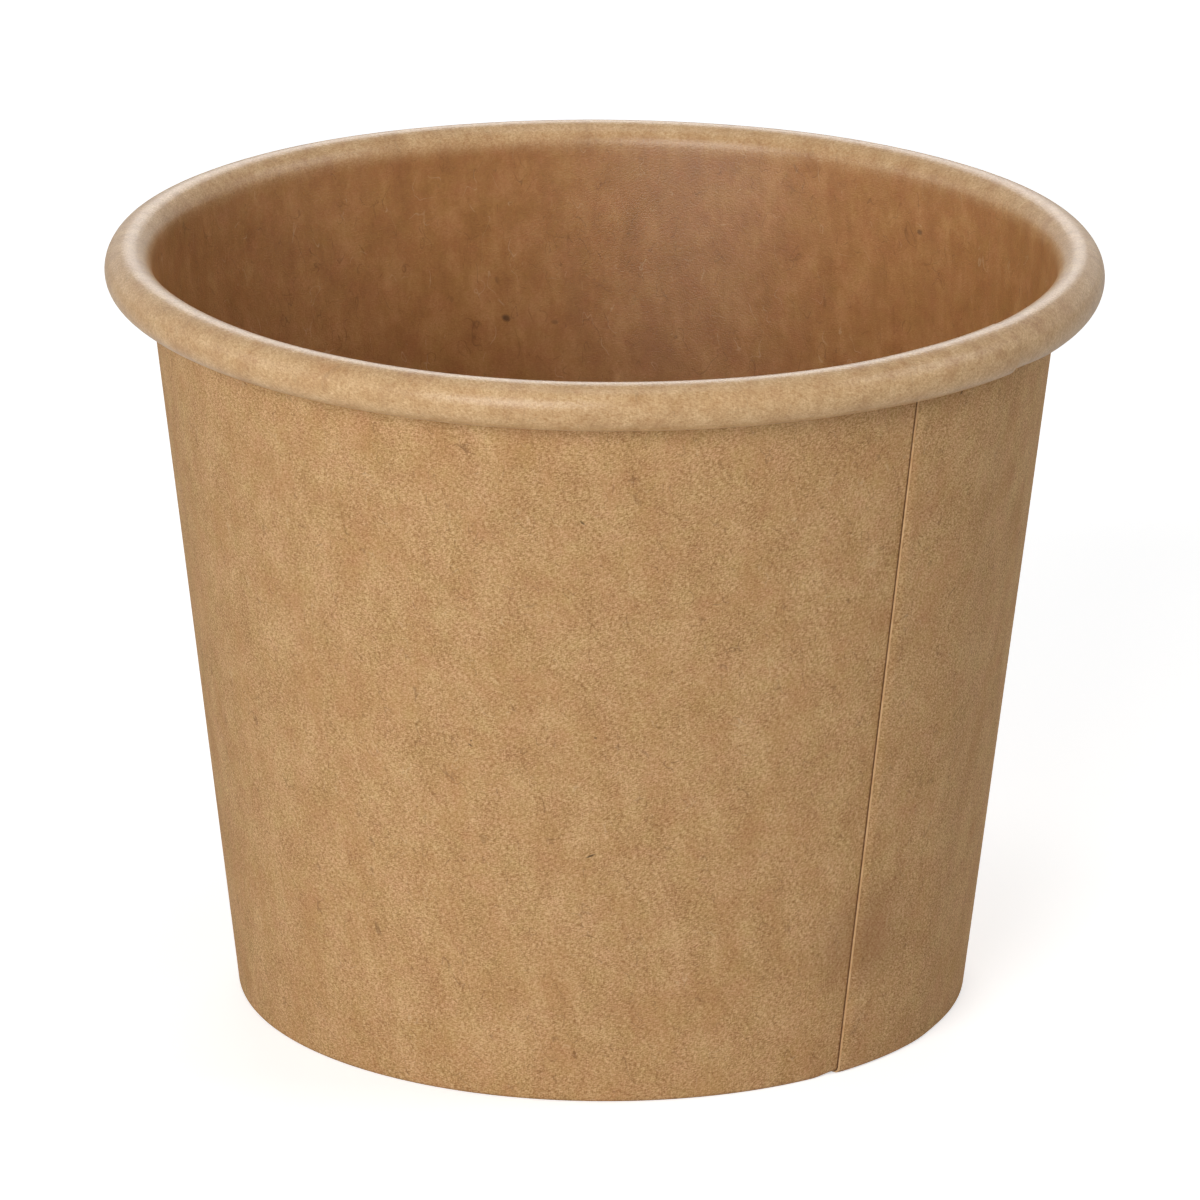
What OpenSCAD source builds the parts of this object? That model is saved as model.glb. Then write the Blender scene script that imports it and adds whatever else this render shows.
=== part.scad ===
// Kraft portion cup: a sidewall blank wound into a cone with a lapped seam,
// its top edge rolled outwards and its bottom edge folded in over the skirt of a drawn base disc.

/* [Cup] */
// Diameter over the rolled rim
rim_d = 74; // [66:0.5:84]
// Diameter of the outside of the wall where it meets the table
foot_d = 54.8; // [48:0.2:58]
// Height from the table to the top of the rolled rim
cup_h = 57.4; // [48:0.2:75]

/* [Board] */
// Thickness of the sidewall board
wall_t = 0.36; // [0.3:0.02:0.46]
// Thickness of the base board
base_t = 0.3; // [0.24:0.02:0.4]
// Clearance between the base skirt and the board on each side of it
seal_gap = 0.02; // [0.01:0.01:0.06]

/* [Side seam] */
// Width of the lap: the blank's two ends are cut parallel, so it is the same from rim to foot
lap_w = 8; // [6:0.5:12]
// How far the outer layer stands over the inner one after the seam is pressed
lap_rise = 0.22; // [0.1:0.02:0.28]
// How much thicker than that the glued lap is
glue_t = 0.02; // [0.01:0.01:0.06]
// Where the middle of the lap stands, turned from +X
seam_turn = -41.5; // [-180:0.1:180]

/* [Rolled rim] */
// Diameter of the roll's section
roll_d = 3.5; // [2.8:0.1:4.4]
// How far the free edge turns past the bottom of the roll, up inside it
tuck_turn = 70; // [20:5:110]
// Gap between the tucked edge and the wall at the lap
tuck_gap = 0.04; // [0.02:0.01:0.1]

/* [Folded foot] */
// Height of the hem that is turned up inside the base skirt
hem_h = 4.8; // [3.5:0.1:5.2]
// Width of the ring that the fold is pressed flat to, where the cup stands
foot_flat_w = 0.5; // [0.3:0.05:0.7]

/* [Base] */
// Height of the cup's floor over the table
floor_z = 6.6; // [6.2:0.1:9]
// Inside radius of the bend between the floor and its skirt
base_bend_r = 0.5; // [0.3:0.05:0.8]
// How far the end of the base skirt stops short of the fold's bend
skirt_end_gap = 0.1; // [0.05:0.05:0.5]

/* [Hidden] */
$fn = 180;

kraft = "#b98f62";
kraft_base = "#b48a5c";

// The fold's inside is as wide as the skirt it closes over, with the seal's clearance on both sides
channel_w = base_t + 2 * seal_gap;
fold_in_r = channel_w / 2;
fold_out_r = fold_in_r + wall_t;
// Height of the fold's centre, so that pressing it flat leaves a ring foot_flat_w wide at z = 0
fold_z = sqrt(pow(fold_out_r, 2) - pow(foot_flat_w / 2, 2));

roll_r = roll_d / 2;
roll_z = cup_h - roll_r;
roll_x = rim_d / 2 - roll_r;

// The wall leans by a taper at which its inner face touches the fold's inside at the foot
// and the roll's outside at the rim: both are circles, so the lean is that of their common tangent
fold_x = foot_d / 2 - fold_out_r;
centre_run = norm([roll_x - fold_x, roll_z - fold_z]);
taper = atan2(roll_x - fold_x, roll_z - fold_z) - asin((fold_in_r + roll_r) / centre_run);

// Unit vectors of the wall's section: up along the board, and square to it away from the cup's axis
along = [sin(taper), cos(taper)];
outward = [cos(taper), -sin(taper)];
fold_c = [fold_x, fold_z];
roll_c = [roll_x, roll_z];
wall_len = (roll_c - fold_c) * along;
hem_len = (hem_h - fold_z) / along[1];
// The board's bends are cut out of rings by a fan that reaches well past them
fan_r = 3 * roll_d;

// The first half turn of the wrap is this much wider, on an axis moved as far
wrap_shift = lap_rise / 2;
lap_t = wall_t + lap_rise + glue_t;
// The tucked edge is on one radius all round, small enough for the doubled board of the lap
tuck_r = roll_r - lap_t - tuck_gap;
// The winding starts just short of the inner cut edge, counted round from the middle of the lap,
// and the lap and the winding's end reach past the cut edges by a spare turn before they are cut
start_turn = asin(lap_w / 2 / (rim_d / 2 + wall_t));
spare_turn = 12;

// The base's bend: its outside meets the floor's top and the skirt's outer face
bend_out_r = base_bend_r + base_t;
bend_side = base_t / 2 - bend_out_r;
bend_rise = (floor_z - bend_out_r - fold_z - bend_side * outward[1]) / along[1];
bend_x = fold_x + along[0] * bend_rise + outward[0] * bend_side;
skirt_len = bend_rise - skirt_end_gap;
// Stretch of floor that is wound with the skirt; the round floor ends half way along it
floor_lip = 4 * lap_rise;
floor_r = bend_x - floor_lip / 2;

// Places children that are drawn in the board's own directions from the centre of the bottom fold:
// x square to the wall and away from the axis, y up along it
module on_board() {
    translate(fold_c)
        rotate(-taper)
            children();
}

// Ring of board, bent about its own centre, between two turns counted from -x over the top
module bent_board(outer_r, thick, from, to) {
    step = (to - from) / 3;
    fan = [for (i = [0:3]) fan_r * [-cos(from + i * step), sin(from + i * step)]];
    intersection() {
        difference() {
            circle(outer_r);
            circle(outer_r - thick);
        }
        polygon(concat([[0, 0]], fan));
    }
}

// Rolled rim: three quarters of a turn at the roll's radius,
// then the free edge on a smaller one, tucked up against the wall
module roll_section(thick) {
    translate([fold_in_r + roll_r, wall_len]) {
        bent_board(roll_r, thick, 0, 270);
        translate([0, tuck_r - roll_r])
            bent_board(tuck_r, thick, 270, 270 + tuck_turn);
    }
}

// Bottom fold, and the hem that stands up inside the skirt
module foot_section(thick) {
    out_r = fold_in_r + thick;
    rotate(180)
        bent_board(out_r, thick, 0, 180);
    translate([-out_r, 0])
        square([thick, hem_len]);
}

// Section of the whole sidewall blank at a given thickness of board, pressed flat on the table
module blank_section(thick) {
    intersection() {
        on_board() {
            roll_section(thick);
            translate([fold_in_r, 0])
                square([thick, wall_len]);
            foot_section(thick);
        }
        square([rim_d, 2 * cup_h]);
    }
}

// Section of the base disc's edge: the floor bent down into a skirt that fills the wall's channel
module skirt_section() {
    translate([bend_x, floor_z - bend_out_r]) {
        translate([-floor_lip, base_bend_r])
            square([floor_lip, base_t]);
        for (lean = [0, taper])
            rotate(-lean)
                bent_board(bend_out_r, base_t, 90, 180);
        rotate(-taper)
            translate([base_bend_r, -skirt_len])
                square([base_t, skirt_len]);
    }
}

// Quarter of space beyond a cut that runs beside the middle of the lap
module beyond(cut) {
    translate([0, cut, -cup_h / 2])
        cube([rim_d, rim_d, 2 * cup_h]);
}

// Winds a section round the cup so that it ends one lap_rise further out than it began.
// The first half turn, from the inner cut edge on, is on an axis moved outwards. The rest is on the
// cup's own axis and ends at a cut beside the lap. They meet without a step on the side away from it.
module wind(last_cut) {
    difference() {
        rotate([0, 0, start_turn])
            translate([wrap_shift, 0, 0])
                rotate_extrude(angle = 180)
                    translate([wrap_shift, 0])
                        children();
        mirror([0, 1, 0])
            beyond(-lap_w / 2);
    }
    difference() {
        rotate([0, 0, start_turn])
            rotate([0, 0, 180])
                rotate_extrude(angle = 180 + spare_turn)
                    children();
        beyond(last_cut);
    }
}

// Both layers of the lap, between the two cut edges
module lap() {
    reach_turn = start_turn + spare_turn;
    intersection() {
        rotate([0, 0, -reach_turn])
            rotate_extrude(angle = 2 * reach_turn)
                blank_section(lap_t);
        translate([0, -lap_w / 2, -cup_h / 2])
            cube([rim_d, lap_w, 2 * cup_h]);
    }
}

module side_wall() {
    color(kraft)
        rotate([0, 0, seam_turn]) {
            wind(-lap_w / 2)
                blank_section(wall_t);
            lap();
        }
}

module base_disc() {
    color(kraft_base)
        rotate([0, 0, seam_turn]) {
            wind(lap_w / 2)
                skirt_section();
            translate([0, 0, floor_z - base_t])
                cylinder(r = floor_r, h = base_t);
        }
}

side_wall();
base_disc();
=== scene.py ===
import math
import bpy
import numpy as np
from mathutils import Matrix, Vector


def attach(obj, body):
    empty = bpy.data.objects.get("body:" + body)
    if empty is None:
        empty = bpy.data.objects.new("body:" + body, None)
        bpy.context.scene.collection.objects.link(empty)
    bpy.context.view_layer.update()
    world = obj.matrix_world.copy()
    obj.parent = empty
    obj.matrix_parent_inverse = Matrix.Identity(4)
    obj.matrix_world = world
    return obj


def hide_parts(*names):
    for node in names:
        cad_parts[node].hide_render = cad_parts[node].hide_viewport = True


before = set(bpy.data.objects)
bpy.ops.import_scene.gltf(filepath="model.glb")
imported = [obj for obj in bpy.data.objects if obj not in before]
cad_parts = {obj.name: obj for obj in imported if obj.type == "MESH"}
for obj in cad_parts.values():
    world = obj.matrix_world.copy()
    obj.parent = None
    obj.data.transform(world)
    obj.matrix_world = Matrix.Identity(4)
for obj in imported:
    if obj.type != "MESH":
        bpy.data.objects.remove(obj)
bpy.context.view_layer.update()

print("frame loaded:", ", ".join(sorted(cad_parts)))

mm = 0.001

# the photograph's camera: far off, looking down a little, turned a hair
photoCamera = {
    "distance": 773.9,       # mm from the aim point
    "aimHeight": 29.79,      # mm over the table, on the cup's axis
    "elevation": 17.925,     # degrees
    "roll": 0.266,           # degrees
    "lens": 310.4,           # mm on a 36 mm sensor
    "shiftX": -0.0024,       # of the frame's width
}


# the view runs along (0, cos e, -sin e), from its distance before the aim point, and right and top are
# that view's own directions turned by the roll
def placeCamera(look):
    e, r = math.radians(look["elevation"]), math.radians(look["roll"])
    along = np.array([0, math.cos(e), -math.sin(e)])
    up = np.array([0, math.sin(e), math.cos(e)])
    side = np.array([1.0, 0, 0])
    right = math.cos(r) * side + math.sin(r) * up
    top = math.cos(r) * up - math.sin(r) * side
    spot = (np.array([0, 0, look["aimHeight"]]) - look["distance"] * along) * mm
    lens = bpy.data.cameras.new("photoCamera")
    lens.lens, lens.sensor_width, lens.shift_x = look["lens"], 36, look["shiftX"]
    lens.clip_start, lens.clip_end = 0.01, 20
    camera = bpy.data.objects.new("photoCamera", lens)
    axes = np.column_stack([right, top, -along, spot])
    camera.matrix_world = Matrix([*axes.tolist(), [0, 0, 0, 1]])
    bpy.context.collection.objects.link(camera)
    bpy.context.scene.camera = camera


placeCamera(photoCamera)
print("camera placed")


# meshes from grids of points

# smooth step: 3x^2 - 2x^3 between 0 and 1, flat outside
def ease(x):
    x = np.clip(x, 0, 1)
    return x * x * (3 - 2 * x)


# quads between neighbouring places of a grid of vertex numbers, turned over if flip is set
def quads(grid, flip=False):
    a, b, c, d = grid[:-1, :-1], grid[1:, :-1], grid[1:, 1:], grid[:-1, 1:]
    corners = (a, d, c, b) if flip else (a, b, c, d)
    return np.stack([side.ravel() for side in corners], axis=1)


# object from points in mm and rows of vertex numbers; a row that ends in -1 is a triangle
def makePiece(name, points, faces, finishes, finishOf, flat, upTheBoard=None):
    sizes = np.where(faces[:, 3] < 0, 3, 4)
    corners = faces[faces >= 0]
    mesh = bpy.data.meshes.new(name)
    mesh.vertices.add(len(points))
    mesh.vertices.foreach_set("co", (points * mm).astype(np.float32).ravel())
    mesh.loops.add(len(corners))
    mesh.loops.foreach_set("vertex_index", corners.astype(np.int32))
    mesh.polygons.add(len(faces))
    mesh.polygons.foreach_set("loop_start", np.concatenate([[0], np.cumsum(sizes)[:-1]]).astype(np.int32))
    for finish in finishes:
        mesh.materials.append(finish)
    mesh.polygons.foreach_set("material_index", finishOf.astype(np.int32))
    # where each corner lies on the flat board, in mm
    place = mesh.uv_layers.new(name="flatBoard")
    place.data.foreach_set("uv", flat[corners].astype(np.float32).ravel())
    if upTheBoard is not None:
        heights = mesh.attributes.new("upTheBoard", "FLOAT", "POINT")
        heights.data.foreach_set("value", upTheBoard.astype(np.float32))
    mesh.update(calc_edges=True)
    mesh.validate()
    mesh.shade_smooth()
    mesh.set_sharp_from_angle(angle=math.radians(50))
    piece = bpy.data.objects.new(name, mesh)
    bpy.context.collection.objects.link(piece)
    return piece


# nodes and colours

noiseLow, noiseHigh = 0.3, 0.7     # nearly all of a noise pattern lies between these


# hex sRGB to linear: divide by 12.92 near black, else ((c + 0.055) / 1.055) ^ 2.4
def linear(code):
    parts = [int(code[i:i + 2], 16) / 255 for i in (1, 3, 5)]
    return (*[c / 12.92 if c <= 0.04045 else ((c + 0.055) / 1.055) ** 2.4 for c in parts], 1.0)


# a node with its settings, and its inputs set or linked
def add(tree, kind, inputs={}, **settings):
    node = tree.nodes.new(kind)
    for key, value in settings.items():
        setattr(node, key, value)
    for key, value in inputs.items():
        if isinstance(value, bpy.types.NodeSocket):
            tree.links.new(value, node.inputs[key])
        else:
            node.inputs[key].default_value = value
    return node


# a material with an empty tree
def newFinish(name):
    finish = bpy.data.materials.new(name)
    finish.use_nodes = True
    finish.node_tree.nodes.clear()
    return finish, finish.node_tree


# unbleached kraft paperboard, its fibres pressed flat on a board machine: brown, cloudy where the stock lay
# unevenly, felted all over with fine pale and dark fibres, and no gloss. The inside is the same sheet under
# a thin extruded film, which deepens its brown and mirrors the room softly, more so at a glance
kraft = {
    "outside": {"deep": "#9b7246", "mid": "#bd9565", "pale": "#d7b184", "red": "#b3814f", "hueSpread": 0.007,
                "roughness": 0.84, "gloss": 0.3, "mottled": 0.3, "streaky": 0.1, "felt": 0.5, "tooth": 0.3,
                "filmed": False, "shift": (0, 0, 0),
                # bark and knots: place on the flat board in mm, turn in degrees, length and width, strength
                "marks": [(72.03, 36.65, -55, 0.50, 0.17, 0.7), (68.5, 20.03, -40, 0.26, 0.2, 0.55),
                          (59.4, 21.1, -47, 0.42, 0.15, 0.65), (59.55, 21.45, 5, 0.2, 0.14, 0.6),
                          (65.7, 10.98, 10, 0.78, 0.16, 0.8), (-101.05, 34.16, 60, 0.34, 0.26, 0.7),
                          (-93.78, 19.82, 55, 1.1, 0.12, 0.45), (-95.17, 23.81, 110, 1.5, 0.09, 0.35),
                          (50.58, 36.95, 20, 0.8, 0.09, 0.4), (61.2, 40.3, 75, 0.9, 0.08, 0.35),
                          (79.4, 27.6, -20, 0.7, 0.09, 0.4), (55.1, 12.2, 40, 0.8, 0.08, 0.35)]},
    "inside": {"deep": "#936238", "mid": "#ab7847", "pale": "#c39260", "red": "#a37345", "hueSpread": 0.006,
               "roughness": 0.42, "gloss": 0.5, "mottled": 0.25, "streaky": 0.18, "felt": 0.15, "tooth": 0.2,
               "filmed": True, "shift": (310, 140, 7),
               "marks": [(-19.37, 41.79, 30, 0.75, 0.55, 0.75), (-23.16, 41.02, 10, 0.6, 0.4, 0.35),
                         (-54.55, 46.66, 20, 0.6, 0.45, 0.6)]},
    "cloudSize": (2.6, 4.6),     # mm round the cup and up it, patches of uneven stock
    "mottleSize": 1.3,           # mm
    "streakSize": (0.6, 5.0),    # mm across and along the machine's run
    "roughSpread": 0.06,
    "redFrom": 0.46,             # of the noise that lays out the redder patches
    "redFull": 0.66,
    "redShare": 0.3,
    "hueScale": 0.55,            # of the mottle's own scale
    "tuftSize": (0.1, 0.3),      # mm across and along a tuft of the felt: single fibres are finer than a pixel
    "tuftLies": [(0.2, (3, 1, 0)), (1.2, (47, 9, 0)), (1.6, (91, 53, 0)), (2.1, (19, 77, 0))],  # turn, offset
    "toothDepth": 0.12,          # mm, drawn deeper than the real tooth so that it shows
    # single fibres: colour, turn, offset, half width and rareness in the noise, strength
    "fibres": [("darkFibre", 0.5, (17, 5, 0), 0.008, 0.56, 0.35),
               ("darkFibre", -0.9, (71, 33, 0), 0.007, 0.57, 0.5),
               ("paleFibre", 0.2, (29, 61, 0), 0.007, 0.58, 0.3),
               ("darkFibre", 1.3, (83, 12, 0), 0.007, 0.57, 0.4)],
    "fibreReach": 2.6,           # mm, the sweep of one long fibre's curve
    "fibreDrawn": 0.6,           # how much of that sweep is left along the fibre's lie
    "darkFibre": "#6b4728",
    "paleFibre": "#dcc09a",
    "speck": "#3f2a1a",
    "speckCell": 6.0,            # mm between places where a bark speck may lie
    "speckChance": 0.75,         # a cell whose random value is lower has none
    "speckSize": 0.035,          # the largest, as a share of its cell
    "speckEdge": 0.015,
    "speckStrength": 0.6,
    "markFade": (1.2, 0.5),      # a mark's edge, in its own half sizes
}


# the sheet's tone is a weighted mean of clouds, mottle, streaks and felt, which a ramp colours. Redder patches,
# fibres, specks and marks are then laid over it, each by a mask between 0 and its strength
def kraftFinish(name, look, alongSeam):
    finish, tree = newFinish(name)
    place = add(tree, "ShaderNodeUVMap", uv_map="flatBoard").outputs["UV"]
    sheet = add(tree, "ShaderNodeMapping", {"Vector": place, "Location": look["shift"]}).outputs[0]

    # uneven stock: large clouds, smaller mottle, and streaks along the run
    across, down = kraft["cloudSize"]
    drift = add(tree, "ShaderNodeMapping", {"Vector": sheet, "Scale": (1 / across, 1 / down, 1)}).outputs[0]
    clouds = add(tree, "ShaderNodeTexNoise", {"Vector": drift, "Scale": 1.0, "Detail": 3.0,
                                              "Roughness": 0.65}).outputs["Fac"]
    mottle = add(tree, "ShaderNodeTexNoise", {"Vector": sheet, "Scale": 1 / kraft["mottleSize"],
                                              "Detail": 3.0, "Roughness": 0.65}).outputs["Fac"]
    across, down = kraft["streakSize"]
    run = add(tree, "ShaderNodeMapping", {"Vector": sheet, "Scale": (1 / across, 1 / down, 1)}).outputs[0]
    streaks = add(tree, "ShaderNodeTexNoise", {"Vector": run, "Scale": 1.0, "Detail": 3.0,
                                               "Roughness": 0.6}).outputs["Fac"]
    stock = add(tree, "ShaderNodeMix", {"Factor": look["mottled"], 2: clouds, 3: mottle}).outputs[0]
    stock = add(tree, "ShaderNodeMix", {"Factor": look["streaky"], 2: stock, 3: streaks}).outputs[0]

    # the felt: short tufts lying four ways, mostly round the cup, each way a noise drawn out along it
    felt = 0.0
    across, down = kraft["tuftSize"]
    for turned, offset in kraft["tuftLies"]:
        lie = add(tree, "ShaderNodeMapping", {"Vector": sheet, "Location": offset,
                                              "Rotation": (0, 0, turned)}).outputs[0]
        lie = add(tree, "ShaderNodeMapping", {"Vector": lie, "Scale": (1 / across, 1 / down, 1)}).outputs[0]
        tufts = add(tree, "ShaderNodeTexNoise", {"Vector": lie, "Scale": 1.0, "Detail": 1.5,
                                                 "Roughness": 0.5}).outputs["Fac"]
        felt = add(tree, "ShaderNodeMath", {0: felt, 1: tufts}, operation="ADD").outputs[0]
    # four ways together vary less about their middle of 2 than one does, so they are stretched about it
    felt = add(tree, "ShaderNodeMapRange", {"Value": felt, "From Min": 1.5, "From Max": 2.5}).outputs[0]
    tone = add(tree, "ShaderNodeMix", {"Factor": look["felt"], 2: stock, 3: felt}).outputs[0]
    ramp = add(tree, "ShaderNodeValToRGB", {"Fac": tone})
    stops = ramp.color_ramp.elements
    stops[0].position, stops[0].color = noiseLow, linear(look["deep"])
    stops[1].position, stops[1].color = noiseHigh, linear(look["pale"])
    stops.new(0.5).color = linear(look["mid"])

    # some patches are redder
    patch = add(tree, "ShaderNodeTexNoise", {"Vector": drift, "Scale": 0.8, "Detail": 3.0,
                                             "Roughness": 0.65}).outputs["Fac"]
    redness = add(tree, "ShaderNodeMapRange", {"Value": patch, "From Min": kraft["redFrom"],
                                               "From Max": kraft["redFull"],
                                               "To Min": 0.0, "To Max": kraft["redShare"]}).outputs[0]
    colour = add(tree, "ShaderNodeMix", {"Factor": redness, 6: ramp.outputs["Color"], 7: linear(look["red"])},
                 data_type="RGBA").outputs[2]
    # and the hue wanders a little everywhere, from a yellower brown to a redder one
    warmth = add(tree, "ShaderNodeTexNoise", {"Vector": sheet, "Scale": kraft["hueScale"] / kraft["mottleSize"],
                                              "Detail": 3.0, "Roughness": 0.75}).outputs["Fac"]
    hue = add(tree, "ShaderNodeMapRange", {"Value": warmth, "From Min": noiseLow, "From Max": noiseHigh,
                                           "To Min": 0.5 - look["hueSpread"],
                                           "To Max": 0.5 + look["hueSpread"]}).outputs[0]
    colour = add(tree, "ShaderNodeHueSaturation", {"Color": colour, "Hue": hue}).outputs[0]

    # single fibres: the thin line where a wandering noise passes its middle, broken up by a second noise
    for shade, turned, offset, width, rareness, strength in kraft["fibres"]:
        lay = add(tree, "ShaderNodeMapping", {"Vector": sheet, "Location": offset, "Rotation": (0, 0, turned),
                                              "Scale": (1.0, kraft["fibreDrawn"], 1)}).outputs[0]
        wander = add(tree, "ShaderNodeTexNoise", {"Vector": lay, "Scale": 1 / kraft["fibreReach"],
                                                  "Detail": 2.0, "Roughness": 0.5,
                                                  "Distortion": 0.4}).outputs["Fac"]
        off = add(tree, "ShaderNodeMath", {0: wander, 1: 0.5}, operation="SUBTRACT").outputs[0]
        away = add(tree, "ShaderNodeMath", {0: off}, operation="ABSOLUTE").outputs[0]
        line = add(tree, "ShaderNodeMapRange", {"Value": away, "From Min": width, "From Max": 0.0,
                                                "To Min": 0.0, "To Max": strength}).outputs[0]
        lengths = add(tree, "ShaderNodeTexNoise", {"Vector": lay, "Scale": 0.8, "Detail": 1.0}).outputs["Fac"]
        shown = add(tree, "ShaderNodeMapRange", {"Value": lengths, "From Min": rareness,
                                                 "From Max": rareness + 0.04}).outputs[0]
        fibre = add(tree, "ShaderNodeMath", {0: line, 1: shown}, operation="MULTIPLY").outputs[0]
        colour = add(tree, "ShaderNodeMix", {"Factor": fibre, 6: colour, 7: linear(kraft[shade])},
                     data_type="RGBA").outputs[2]

    # bark specks: one to a cell at most, in the few cells whose own random value is high
    cells = add(tree, "ShaderNodeTexVoronoi", {"Vector": sheet, "Scale": 1 / kraft["speckCell"],
                                               "Randomness": 1.0}, feature="F1")
    chance = add(tree, "ShaderNodeSeparateColor", {"Color": cells.outputs["Color"]}).outputs[0]
    size = add(tree, "ShaderNodeMapRange", {"Value": chance, "From Min": kraft["speckChance"], "From Max": 1.0,
                                            "To Min": 0.0, "To Max": kraft["speckSize"]}).outputs[0]
    inSpeck = add(tree, "ShaderNodeMath", {0: size, 1: cells.outputs["Distance"]},
                  operation="SUBTRACT").outputs[0]
    speck = add(tree, "ShaderNodeMapRange", {"Value": inSpeck, "From Min": 0.0, "From Max": kraft["speckEdge"],
                                             "To Min": 0.0, "To Max": kraft["speckStrength"]}).outputs[0]
    colour = add(tree, "ShaderNodeMix", {"Factor": speck, 6: colour, 7: linear(kraft["speck"])},
                 data_type="RGBA").outputs[2]
    colour = addMarks(tree, colour, place, look["marks"])

    rough = add(tree, "ShaderNodeMapRange", {"Value": mottle, "From Min": noiseLow, "From Max": noiseHigh,
                                             "To Min": look["roughness"] - kraft["roughSpread"],
                                             "To Max": look["roughness"] + kraft["roughSpread"]}).outputs[0]
    gloss = look["gloss"]
    if look["filmed"]:
        # the roll's stretch whitening, partly painted sheen
        colour, rough, gloss = addStretchWhiteningAndSheen(tree, colour, rough, gloss, mottle, felt)
    if alongSeam:
        # painted shade in the crevice at the outer cut edge, with the glue line there
        colour = addCreaseShadeAndGlue(tree, colour)
        colour = addSmudge(tree, colour)

    # the sheet's tooth is the felt itself, on a slower unevenness that the film mirrors in patches
    height = add(tree, "ShaderNodeMix", {"Factor": 0.5, 2: mottle, 3: felt}).outputs[0]
    bump = add(tree, "ShaderNodeBump", {"Height": height, "Strength": look["tooth"],
                                        "Distance": kraft["toothDepth"] * mm}).outputs[0]
    shader = add(tree, "ShaderNodeBsdfPrincipled", {"Base Color": colour, "Roughness": rough, "Normal": bump,
                                                    "IOR": 1.5, "Specular IOR Level": gloss})
    add(tree, "ShaderNodeOutputMaterial", {"Surface": shader.outputs[0]})
    return finish


# single marks: each is an ellipse, whose dark fades out with the distance from its middle over its half sizes
def addMarks(tree, colour, place, marks):
    edge, core = kraft["markFade"]
    for x, y, turned, long, wide, strength in marks:
        inside = add(tree, "ShaderNodeMapping", {"Vector": place, "Location": (x, y, 0),
                                                 "Scale": (long / 2, wide / 2, 1),
                                                 "Rotation": (0, 0, math.radians(turned))},
                     vector_type="TEXTURE")
        far = add(tree, "ShaderNodeVectorMath", {0: inside.outputs[0]}, operation="LENGTH").outputs["Value"]
        mask = add(tree, "ShaderNodeMapRange", {"Value": far, "From Min": edge, "From Max": core,
                                                "To Min": 0.0, "To Max": strength}).outputs[0]
        colour = add(tree, "ShaderNodeMix", {"Factor": mask, 6: colour, 7: linear(kraft["speck"])},
                     data_type="RGBA").outputs[2]
    return colour


# the film where it is drawn round the roll: it whitens and shines, and its whitened tone is partly painted
# sheen
stretch = {
    "clear": "#c39b6b",
    "whitenedWithSheen": "#ebcc9f",
    "from": -0.8,            # mm past the wall's upper end, where it sets in
    "full": 1.2,
    "share": 0.65,
    "spread": 0.25,          # how far that share comes and goes
    "crazing": (0.05, 0.95), # of the felt, from clear to whitened
    "roughness": 0.28,
    "gloss": 0.3,
}


# a share that rises smoothly with the length along the flat board and comes and goes with the mottle;
# the fine crazing in it follows the felt; the whitened patches are partly painted sheen
def addStretchWhiteningAndSheen(tree, colour, rough, gloss, mottle, felt):
    fromFoot = add(tree, "ShaderNodeAttribute", attribute_name="upTheBoard").outputs["Fac"]
    onRoll = add(tree, "ShaderNodeMapRange", {"Value": fromFoot, "From Min": wallLength + stretch["from"],
                                              "From Max": wallLength + stretch["full"]},
                 interpolation_type="SMOOTHSTEP").outputs[0]
    uneven = add(tree, "ShaderNodeMapRange", {"Value": mottle, "From Min": noiseLow, "From Max": noiseHigh,
                                              "To Min": stretch["share"] - stretch["spread"],
                                              "To Max": stretch["share"] + stretch["spread"]}).outputs[0]
    share = add(tree, "ShaderNodeMath", {0: onRoll, 1: uneven}, operation="MULTIPLY").outputs[0]
    low, high = stretch["crazing"]
    crazed = add(tree, "ShaderNodeMapRange", {"Value": felt, "From Min": low, "From Max": high}).outputs[0]
    film = add(tree, "ShaderNodeMix", {"Factor": crazed, 6: linear(stretch["clear"]),
                                       7: linear(stretch["whitenedWithSheen"])}, data_type="RGBA").outputs[2]
    colour = add(tree, "ShaderNodeMix", {"Factor": share, 6: colour, 7: film}, data_type="RGBA").outputs[2]
    rough = add(tree, "ShaderNodeMix", {"Factor": onRoll, 2: rough, 3: stretch["roughness"]}).outputs[0]
    gloss = add(tree, "ShaderNodeMix", {"Factor": onRoll, 2: gloss, 3: stretch["gloss"]}).outputs[0]
    return colour, rough, gloss


# painted shade with the glue line: the dark line in the crevice where the outer layer of the lap ends, in mm
# from the cut's plane
creaseShadeAndGlue = {
    "colour": "#4d2f1a",
    "start": -0.17,
    "dark": -0.05,
    "end": 0.004,            # just past the cut
    "strength": 0.8,
}


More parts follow.
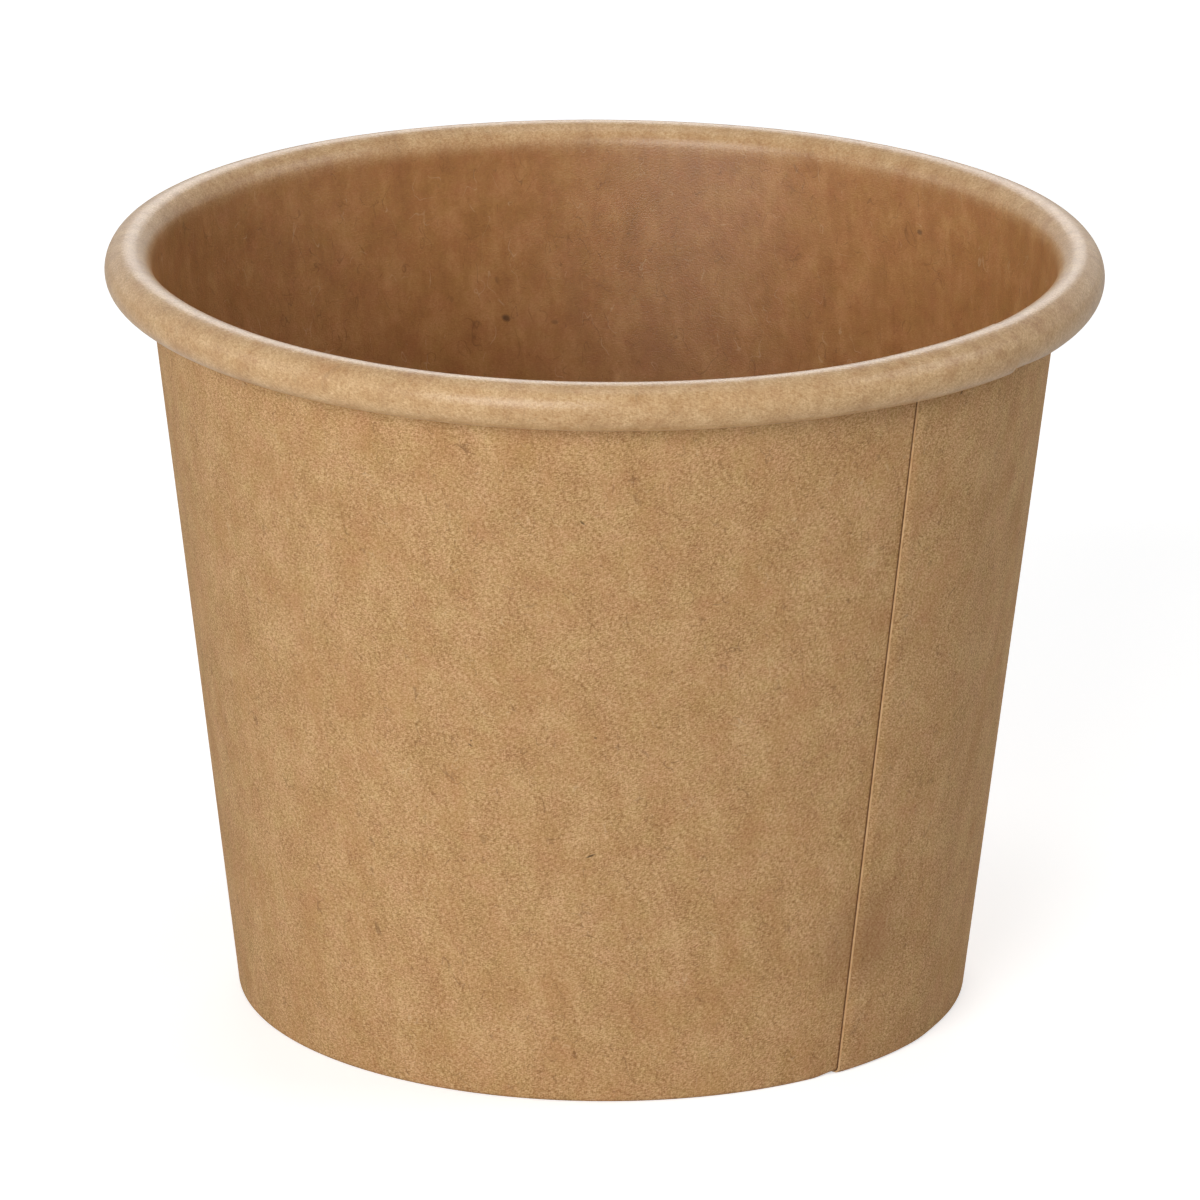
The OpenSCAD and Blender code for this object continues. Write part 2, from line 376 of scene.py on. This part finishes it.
# a tone by the distance from the cut's plane, which is the point's component across the lap
# plus half the lap's width at its height, on the seam's side of the axis alone
# the dark it lays is painted shade of the crevice, with the glue line in it
def addCreaseShadeAndGlue(tree, colour):
    spot = add(tree, "ShaderNodeTexCoord").outputs["Object"]
    square = (-math.sin(turn), math.cos(turn), -seam["narrowing"] / 2)
    across = add(tree, "ShaderNodeVectorMath", {0: spot, 1: square}, operation="DOT_PRODUCT").outputs["Value"]
    ahead = add(tree, "ShaderNodeVectorMath", {0: spot, 1: (math.cos(turn), math.sin(turn), 0)},
                operation="DOT_PRODUCT").outputs["Value"]
    left = add(tree, "ShaderNodeMath", {0: across, 1: half * mm}, operation="ADD").outputs[0]
    near = add(tree, "ShaderNodeMapRange", {"Value": left, "From Min": creaseShadeAndGlue["start"] * mm,
                                            "From Max": creaseShadeAndGlue["dark"] * mm,
                                            "To Min": 0.0, "To Max": creaseShadeAndGlue["strength"]}).outputs[0]
    under = add(tree, "ShaderNodeMath", {0: left, 1: creaseShadeAndGlue["end"] * mm}, operation="LESS_THAN").outputs[0]
    front = add(tree, "ShaderNodeMath", {0: ahead, 1: 0.0}, operation="GREATER_THAN").outputs[0]
    mask = add(tree, "ShaderNodeMath", {0: near, 1: under}, operation="MULTIPLY").outputs[0]
    mask = add(tree, "ShaderNodeMath", {0: mask, 1: front}, operation="MULTIPLY").outputs[0]
    return add(tree, "ShaderNodeMix", {"Factor": mask, 6: colour, 7: linear(creaseShadeAndGlue["colour"])},
               data_type="RGBA").outputs[2]


# a browner patch low on the lap, where the seam was heated, in metres
smudge = {
    "colour": "#8a5f3c",
    "middle": (0.0195, -0.0215, 0.0105),
    "squash": (1.0, 1.0, 1.3),
    "start": 0.0095,
    "full": 0.004,
    "raggedScale": 260.0,
    "ragged": 0.006,         # how far its edge wanders
    "strength": 0.4,
}


# a soft ball: a tone by the distance from its middle, squashed a little upwards, with a noise added to it
def addSmudge(tree, colour):
    spot = add(tree, "ShaderNodeTexCoord").outputs["Object"]
    gap = add(tree, "ShaderNodeVectorMath", {0: spot, 1: smudge["middle"]}, operation="SUBTRACT").outputs[0]
    wide = add(tree, "ShaderNodeVectorMath", {0: gap, 1: smudge["squash"]}, operation="MULTIPLY").outputs[0]
    far = add(tree, "ShaderNodeVectorMath", {0: wide}, operation="LENGTH").outputs["Value"]
    ragged = add(tree, "ShaderNodeTexNoise", {"Vector": spot, "Scale": smudge["raggedScale"],
                                              "Detail": 3.0}).outputs["Fac"]
    edge = add(tree, "ShaderNodeMath", {0: ragged, 1: smudge["ragged"], 2: far},
               operation="MULTIPLY_ADD").outputs[0]
    mask = add(tree, "ShaderNodeMapRange", {"Value": edge, "From Min": smudge["start"],
                                            "From Max": smudge["full"],
                                            "To Min": 0.0, "To Max": smudge["strength"]}).outputs[0]
    return add(tree, "ShaderNodeMix", {"Factor": mask, 6: colour, 7: linear(smudge["colour"])},
               data_type="RGBA").outputs[2]


# cut edge of kraft paperboard: bare fibre ends in thin plies, paler than the faces and quite dull
cutEdge = {
    "dark": "#bd9366",
    "pale": "#cfab80",
    "plyScale": 1500.0,      # to the metre: patches from 0.7 mm down to 0.2 mm
    "depth": 0.05,           # mm
    "roughness": 0.9,
    "gloss": 0.35,
}


# a fine noise runs between the two tones and lifts the surface
def cutFinish(name):
    finish, tree = newFinish(name)
    spot = add(tree, "ShaderNodeTexCoord").outputs["Object"]
    ply = add(tree, "ShaderNodeTexNoise", {"Vector": spot, "Scale": cutEdge["plyScale"],
                                           "Detail": 2.0}).outputs["Fac"]
    ramp = add(tree, "ShaderNodeValToRGB", {"Fac": ply})
    stops = ramp.color_ramp.elements
    stops[0].position, stops[0].color = noiseLow, linear(cutEdge["dark"])
    stops[1].position, stops[1].color = noiseHigh, linear(cutEdge["pale"])
    bump = add(tree, "ShaderNodeBump", {"Height": ply, "Strength": 0.4,
                                        "Distance": cutEdge["depth"] * mm}).outputs[0]
    shader = add(tree, "ShaderNodeBsdfPrincipled", {"Base Color": ramp.outputs[0], "Normal": bump,
                                                    "Roughness": cutEdge["roughness"], "IOR": 1.5,
                                                    "Specular IOR Level": cutEdge["gloss"]})
    add(tree, "ShaderNodeOutputMaterial", {"Surface": shader.outputs[0]})
    return finish


# sizes of the wall's board in mm, the CAD part's own, so the board lies where its solid does
board = {
    "rimRadius": 37.0,
    "height": 57.4,
    "footRadius": 27.4,
    "thick": 0.36,
    "rollRadius": 1.75,
    "tuckRadius": 1.11,
    "tuckTurn": 70.0,        # degrees past the bottom of the roll
    "hemHeight": 4.8,
    "channel": 0.34,         # inside width of the bottom fold
    "footFlat": 0.5,
}

# the lapped side seam, in mm
seam = {
    "turn": -41.5,           # degrees from +X to the middle of the lap
    "width": 8.36,           # at the table
    "narrowing": 0.02,       # what it loses for each mm of height
    "pressed": 0.29,         # each layer under the seam's pressure
    "release": 2.5,          # stretch over which the board has its full thickness again
    "crush": 0.24,           # what the inner cut edge loses under the rim's rolling tool
    "crushUnder": 0.8,       # how much of that is spared under the roll
    "crushReach": 2.0,
    "rollStart": 2.0,        # stretch below the roll over which its squeeze sets in
    "glue": 0.008,
    "climb": 5.5,            # stretch over which the outer layer leaves the wall's round
    "lifted": 0.03,          # how far the outer cut edge stands off
    "liftReach": 1.4,
    "pinch": 0.12,           # what the outer cut edge loses under the seam's clamp
    "pinchReach": 0.7,
    "rollSwell": 0.06,       # the doubled roll is this much fatter
    "swellReach": 7.0,
}

# the wall isn't quite round: two-lobed and three-lobed swell that grows to the rim, and a faint unevenness
# of a hand's grip on thin board, all in mm; to the right the roll is looser and hangs lower by droop
outOfRound = {
    "twoLobes": -0.198,
    "threeLobes": 0.278,
    "wall": 0.03,
    "rim": 0.04,
    "droop": 0.55,
    "droopTurn": 0.0,        # degrees from +X
    "droopReach": 0.22,
}

# lengths and angles that follow from those
turn = math.radians(seam["turn"])
half = seam["width"] / 2
foldIn = board["channel"] / 2
foldOut = foldIn + board["thick"]
foldX = board["footRadius"] - foldOut
foldZ = math.sqrt(foldOut ** 2 - (board["footFlat"] / 2) ** 2)
rollX = board["rimRadius"] - board["rollRadius"]
rollZ = board["height"] - board["rollRadius"]
span = math.hypot(rollX - foldX, rollZ - foldZ)
lean = math.atan2(rollX - foldX, rollZ - foldZ) - math.asin((foldIn + board["rollRadius"]) / span)
wallLength = (rollX - foldX) * math.sin(lean) + (rollZ - foldZ) * math.cos(lean)


kraftOutside = kraftFinish("uncoatedKraftBoard", kraft["outside"], True)
kraftUnder = kraftFinish("uncoatedKraftBase", dict(kraft["outside"], marks=[]), False)
kraftInside = kraftFinish("filmCoatedKraftBoard", kraft["inside"], False)
kraftCut = cutFinish("cutKraftEdge")
print("finishes made")


# how far the cup is out of round at a turn and a height: lobes times height, plus a few slow waves up the wall
# and round the rim
def swell(theta, z):
    up = z / rollZ
    lobes = (outOfRound["twoLobes"] * np.sin(2 * theta) + outOfRound["threeLobes"] * np.sin(3 * theta)) * up
    slow = np.sin(4 * theta + 2.1 + 0.03 * z) * np.sin(0.09 * z + 0.7)
    quick = 0.6 * np.sin(7 * theta + 0.4 - 0.05 * z) * np.sin(0.13 * z + 2 * theta)
    waves = (slow + quick) * np.sin(np.pi * np.clip(up, 0, 1))
    rim = (np.sin(6 * theta + 0.8) + 0.6 * np.sin(11 * theta + 2.5)) * ease((up - 0.9) / 0.1)
    return lobes + outOfRound["wall"] * waves + outOfRound["rim"] * rim


# the blank's section: hem, fold, wall, three quarters of a roll and its tuck, as straight runs and arcs.
# x is square to the wall and y up along it, from the fold's centre; (nx, ny) points from the film face to the
# bare one; hang is the share of the roll's droop that a point takes; length runs up the board from the fold
def blankSection():
    hem = np.linspace((board["hemHeight"] - foldZ) / math.cos(lean), 0, 7)[:-1]
    fold = np.linspace(np.pi, 2 * np.pi, 15)
    close = wallLength - 4    # from here up the rows stand closer
    wall = np.concatenate([np.linspace(0, close, 37)[1:], np.linspace(close, wallLength, 10)[1:-1]])
    roll = np.linspace(np.pi, -np.pi / 2, 42)
    tuck = -np.pi / 2 - np.linspace(0, math.radians(board["tuckTurn"]), 12)[1:]
    big, small, middle = board["rollRadius"], board["tuckRadius"], foldIn + board["rollRadius"]
    x = np.concatenate([-foldIn + 0 * hem, foldIn * np.cos(fold), foldIn + 0 * wall,
                        middle + big * np.cos(roll), middle + small * np.cos(tuck)])
    y = np.concatenate([hem, foldIn * np.sin(fold), wall, wallLength + big * np.sin(roll),
                        wallLength - big + small + small * np.sin(tuck)])
    nx = np.concatenate([-1 + 0 * hem, np.cos(fold), 1 + 0 * wall, -np.cos(roll), -np.cos(tuck)])
    ny = np.concatenate([0 * hem, np.sin(fold), 0 * wall, -np.sin(roll), -np.sin(tuck)])
    steps = np.hypot(np.diff(x + nx * board["thick"] / 2), np.diff(y + ny * board["thick"] / 2))
    length = np.concatenate([[0], np.cumsum(steps)])
    squeeze = ease((wall - wallLength + seam["rollStart"]) / seam["rollStart"])
    onRoll = np.concatenate([0 * hem, 0 * fold, squeeze, 1 + 0 * roll, 1 + 0 * tuck])
    hang = np.concatenate([0 * hem, 0 * fold, 0 * wall, ease(0.5 - roll / np.pi), 1 + 0 * tuck])
    length = length - length[len(hem) + len(fold) - 1]
    return [row[:, None] for row in (x, y, nx, ny, hang, length, onRoll)]


# columns of the wound blank: across is the place over the lap, from 1 to -1 between its cut edges and closer
# towards them, or the share of the way round between laps, closer beside the lap, from distances in mm.
# zone 0 is the lap's inner layer, 1 the single wall, 2 the lap's outer layer
def blankColumns():
    meanRadius = 31
    spread = np.linspace(-1, 1, 31)
    lapRow = np.sign(-spread) * (1 - (1 - np.abs(spread)) ** 1.6)
    wayRound = 2 * np.pi * meanRadius - 2 * half
    start = np.array([0.06, 0.14, 0.25, 0.4, 0.6, 0.9, 1.3, 1.8, 2.4]) / wayRound
    end = 1 - np.array([6.3, 5.6, 5.1, 4.6, 4.1, 3.6, 3.1, 2.6, 2.1, 1.6, 1.1, 0.7, 0.4, 0.2, 0.08]) / wayRound
    plain = np.concatenate([start, np.linspace(start[-1], end[0], 296)[1:-1], end])
    across = np.concatenate([lapRow, plain, lapRow])
    zone = np.concatenate([0 * lapRow, 1 + 0 * plain, 2 + 0 * lapRow])
    return across[None, :], zone[None, :], wayRound


# the wall's layers: how far the film face stands off the cup's inner surface, how thick the board is there,
# and how thick all its layers are together. Each is a sum of amounts that ease in towards a cut edge. The outer
# layer climbs over the inner cut edge; the roll squeezes that edge thin and swells a little
def blankLayers(across, zone, wayRound, hang, onRoll):
    pressed, thick, glue = seam["pressed"], board["thick"], seam["glue"]
    over = across * half
    fromLap = np.where(zone == 1, across * wayRound, 0)
    toLap = np.where(zone == 1, (1 - across) * wayRound, 0)
    squeezed = seam["crush"] * onRoll * (1 - seam["crushUnder"] * hang)
    nearInner = ease((over - half + seam["crushReach"]) / seam["crushReach"]) * (zone != 1)
    inner = pressed - squeezed * nearInner
    climb = ease(1 - toLap / seam["climb"]) * (zone == 1)
    nearOuter = ease((-over - half + seam["liftReach"]) / seam["liftReach"]) * (zone == 2)
    standOff = seam["lifted"] * nearOuter * (1 - onRoll)
    lift = np.where(zone == 2, inner + glue + standOff, (pressed - squeezed + glue) * climb)
    release = ease(1 - fromLap / seam["release"])
    inLap = np.where(zone == 1, np.maximum(release, climb), 1)
    pinched = seam["pinch"] * ease((-over - half + seam["pinchReach"]) / seam["pinchReach"]) * (zone == 2)
    layer = np.where(zone == 0, inner, thick + (pressed - thick) * inLap) - pinched
    fat = np.where(zone == 1, np.maximum(ease(1 - fromLap / seam["swellReach"]), climb), 1)
    lift = lift - seam["rollSwell"] * onRoll * fat
    doubled = 2 * pressed + glue
    single = np.maximum(lift + layer, thick + (doubled - thick) * release)
    stack = np.where(zone == 0, doubled, np.where(zone == 1, single, lift + layer))
    return lift, layer, stack


# point of the wound blank: section point plus depth along its normal, leaned by the wall's taper, flattened at
# the table, and turned about the axis. In the lap the turn is arcsin(across * half the lap / radius), so both
# cuts are straight. The roll hangs lower by droop * e^((cos(angle off its middle) - 1) / reach)
def windBlank(depth, stack, section, across, zone):
    x, y, nx, ny, hang = section
    outX, outY = x + nx * depth, y + ny * depth
    r = foldX + outX * math.cos(lean) + outY * math.sin(lean)
    z = foldZ - outX * math.sin(lean) + outY * math.cos(lean)
    below = np.maximum(foldZ - z, 0) * foldOut / (foldIn + np.maximum(stack, board["thick"]))
    z = np.where(z < foldZ, foldZ - np.minimum(below, foldZ), z)
    halfHere = half - seam["narrowing"] / 2 * z
    edge = np.arcsin(halfHere / r)
    swept = np.where(zone == 1, -(edge + across * (2 * np.pi - 2 * edge)),
                     np.arcsin(across * halfHere / r) - np.where(zone == 2, 2 * np.pi, 0))
    theta = turn + swept
    r = r + swell(theta, z)
    off = theta - math.radians(outOfRound["droopTurn"])
    z = z - outOfRound["droop"] * np.exp((np.cos(off) - 1) / outOfRound["droopReach"]) * hang
    return np.stack([r * np.cos(theta), r * np.sin(theta), z], axis=-1), swept


# the wall: both faces of the wound blank, and strips that close its free edges and its cut ends.
# laid flat, the blank is a sector: slant radius, and swept angle times the sine of the taper
def makeSideWall():
    x, y, nx, ny, hang, length, onRoll = blankSection()
    across, zone, wayRound = blankColumns()
    lift, thick, stack = blankLayers(across, zone, wayRound, hang, onRoll)
    section = (x, y, nx, ny, hang)
    film, swept = windBlank(lift, stack, section, across, zone)
    bare, _ = windBlank(lift + thick, stack, section, across, zone)
    rows, columns = film.shape[:2]
    points = np.concatenate([film, bare]).reshape(-1, 3)
    slant = (foldX + foldIn) / math.sin(lean)
    fan = (swept + np.pi) * math.sin(lean)
    flat = np.stack([(slant + length) * np.sin(fan), (slant + length) * np.cos(fan) - slant], axis=-1)
    flat = np.concatenate([flat, flat]).reshape(-1, 2)
    number = np.arange(len(points)).reshape(2, rows, columns)
    inside, outside = number
    faces = [quads(inside, True), quads(outside)]
    # free edges of hem and tuck, then the two cut ends
    faces.append(quads(np.stack([inside[0], outside[0]]), False))
    faces.append(quads(np.stack([inside[-1], outside[-1]]), True))
    faces.append(quads(np.stack([inside[:, 0], outside[:, 0]]), True))
    faces.append(quads(np.stack([inside[:, -1], outside[:, -1]]), False))
    finishOf = np.concatenate([np.full(len(group), kind) for group, kind in zip(faces, (0, 1, 2, 2, 2, 2))])
    up = np.tile(np.broadcast_to(length, (rows, columns)).ravel(), 2)
    return makePiece("sideWall", points, np.concatenate(faces), [kraftInside, kraftOutside, kraftCut],
                     finishOf, flat, up)


sideWall = makeSideWall()
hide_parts("side_wall")
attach(sideWall, "root")
print("side wall:", len(sideWall.data.polygons), "faces")

# the base disc, in mm: a round of board whose edge is drawn down into a skirt
base = {
    "thick": 0.30,
    "floorHeight": 6.6,
    "bend": 0.5,             # inside radius
    "endGap": 0.1,
    "dish": 0.14,            # the floor sags this much in the middle
}


# outline of the disc's section, as arcs and straight runs from the middle of the floor round the skirt's end
# to the middle of the underside
def baseSection():
    outer = base["bend"] + base["thick"]
    side = base["thick"] / 2 - outer
    rise = (base["floorHeight"] - outer - foldZ + side * math.sin(lean)) / math.cos(lean)
    cx = foldX + rise * math.sin(lean) + side * math.cos(lean)
    cz = base["floorHeight"] - outer
    out, up = np.array([math.cos(lean), -math.sin(lean)]), np.array([math.sin(lean), math.cos(lean)])
    floor = cx * np.sqrt(np.linspace(0, 1, 26))[1:]
    bend = np.linspace(np.pi / 2, -lean, 12)[1:]
    skirt = np.linspace(0, rise - base["endGap"], 12)[1:]
    middle = np.array([cx, cz])
    top = np.stack([floor, base["floorHeight"] + 0 * floor], axis=1)
    under = np.stack([floor, base["floorHeight"] - base["thick"] + 0 * floor], axis=1)[::-1]
    arc = np.stack([np.cos(bend), np.sin(bend)], axis=1)
    down = middle - skirt[:, None] * up
    loop = np.concatenate([top, middle + outer * arc, down + outer * out, (down + base["bend"] * out)[::-1],
                           (middle + base["bend"] * arc)[::-1], under])
    return loop, len(top) + len(bend) + len(skirt)


# triangles from a closed row of vertex numbers to one pole
def cap(row, pole, flip):
    here, there = (row[1:], row[:-1]) if flip else (row[:-1], row[1:])
    return np.stack([here, there, np.full(len(here), pole), np.full(len(here), -1)], axis=1)


# disc: that outline carried round the axis. The floor sags by dish * (1 - (r / R)^2)^2, and the disc keeps
# the cup's swell by r / R
def makeBaseDisc():
    loop, turnBack = baseSection()
    theta = np.linspace(0, 2 * np.pi, 257)[:-1]
    r, z = loop[:, 0][:, None], loop[:, 1][:, None]
    radius = loop[:, 0].max()
    reach = np.clip(r / radius, 0, 1)
    grow = r + swell(theta[None, :], z) * reach
    sag = base["dish"] * (1 - reach ** 2) ** 2
    grid = np.stack([grow * np.cos(theta), grow * np.sin(theta), z - sag + 0 * theta], axis=-1)
    rows, columns = grid.shape[:2]
    top, bottom = base["floorHeight"] - base["dish"], base["floorHeight"] - base["thick"] - base["dish"]
    points = np.concatenate([grid.reshape(-1, 3), [[0, 0, top], [0, 0, bottom]]])
    number = np.arange(rows * columns).reshape(rows, columns)
    number = np.concatenate([number, number[:, :1]], axis=1)
    body = quads(number)
    faces = np.concatenate([body, cap(number[0], rows * columns, False),
                            cap(number[-1], rows * columns + 1, True)])
    film = np.repeat(np.arange(rows - 1) < turnBack - 1, columns)
    edge = np.repeat(np.arange(rows - 1) == turnBack - 1, columns)
    finishOf = np.concatenate([np.where(edge, 2, np.where(film, 0, 1)), np.zeros(columns), np.ones(columns)])
    return makePiece("baseDisc", points, faces, [kraftInside, kraftUnder, kraftCut], finishOf, points[:, :2])


baseDisc = makeBaseDisc()
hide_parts("base_disc")
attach(baseDisc, "root")
print("base disc:", len(baseDisc.data.polygons), "faces")

# the photographer's white table and lamps
studio = {
    "floorSize": 9.0,        # metres
    "floorLines": 9,
    "floorDrop": 0.02,       # mm under the cup
    "floorTone": "#ececec",
    "floorGlow": 0.6,        # lifts the floor to white for the camera and leaves the shadow
    "sky": 0.05,
    "lampAim": (0, 0, 0.03),
    "lamps": [
        # name, place in metres, size, watts
        ("softBoxFront", (-0.55, -1.25, 0.52), 0.9, 15.2),
        ("softBoxLeft", (-1.45, -0.1, 0.45), 0.9, 2.6),
        ("softBoxRight", (1.25, -0.05, 0.85), 0.9, 5.8),
        ("softBoxBack", (0.0, 1.3, 0.8), 0.8, 4.6),
        ("softBoxTop", (0.0, 0.0, 1.6), 0.8, 3.2),
    ],
}


# floor: a flat grid x = s, y = t, seen from above only, so that the foot shows from below
def makeFloor():
    lines = studio["floorLines"]
    edge = np.linspace(-studio["floorSize"] / 2, studio["floorSize"] / 2, lines) / mm
    s, t = np.meshgrid(edge, edge)
    points = np.stack([s, t, 0 * s - studio["floorDrop"]], axis=-1).reshape(-1, 3)
    finish, tree = newFinish("whiteStudioTable")
    paths = add(tree, "ShaderNodeLightPath").outputs
    lit = add(tree, "ShaderNodeBsdfDiffuse", {"Color": linear(studio["floorTone"])}).outputs[0]
    glow = add(tree, "ShaderNodeEmission", {"Strength": studio["floorGlow"]}).outputs[0]
    both = add(tree, "ShaderNodeAddShader", {0: lit, 1: glow}).outputs[0]
    seen = add(tree, "ShaderNodeMixShader", {0: paths["Is Camera Ray"], 1: lit, 2: both}).outputs[0]
    back = add(tree, "ShaderNodeNewGeometry").outputs["Backfacing"]
    clear = add(tree, "ShaderNodeBsdfTransparent").outputs[0]
    oneSided = add(tree, "ShaderNodeMixShader", {0: back, 1: seen, 2: clear}).outputs[0]
    add(tree, "ShaderNodeOutputMaterial", {"Surface": oneSided})
    faces = quads(np.arange(lines * lines).reshape(lines, lines), True)
    floor = makePiece("studioTable", points, faces, [finish], np.zeros(len(faces)), points[:, :2])


# each lamp is a disc that faces the middle of the cup
def makeLamps():
    for name, spot, size, watts in studio["lamps"]:
        lamp = bpy.data.lights.new(name, "AREA")
        lamp.shape, lamp.size, lamp.energy = "DISK", size, watts
        holder = bpy.data.objects.new(name, lamp)
        direction = Vector(studio["lampAim"]) - Vector(spot)
        holder.rotation_euler = direction.to_track_quat("-Z", "Y").to_euler()
        holder.location = spot
        bpy.context.collection.objects.link(holder)


# the sky is white to the camera, in gloss and through glass, and dim as a light
def makeSky():
    world = bpy.data.worlds.new("studioSky")
    bpy.context.scene.world = world
    world.use_nodes = True
    tree = world.node_tree
    tree.nodes.clear()
    paths = add(tree, "ShaderNodeLightPath").outputs
    seen = add(tree, "ShaderNodeMath", {0: paths["Is Camera Ray"], 1: paths["Is Glossy Ray"]},
               operation="MAXIMUM").outputs[0]
    seen = add(tree, "ShaderNodeMath", {0: seen, 1: paths["Is Transmission Ray"]},
               operation="MAXIMUM").outputs[0]
    level = add(tree, "ShaderNodeMapRange", {"Value": seen, "To Min": studio["sky"], "To Max": 1.0}).outputs[0]
    sky = add(tree, "ShaderNodeBackground", {"Color": (1, 1, 1, 1), "Strength": level}).outputs[0]
    add(tree, "ShaderNodeOutputWorld", {"Surface": sky})


makeFloor()
makeLamps()
makeSky()
bpy.context.scene.view_settings.view_transform = "Standard"
print("studio lit")
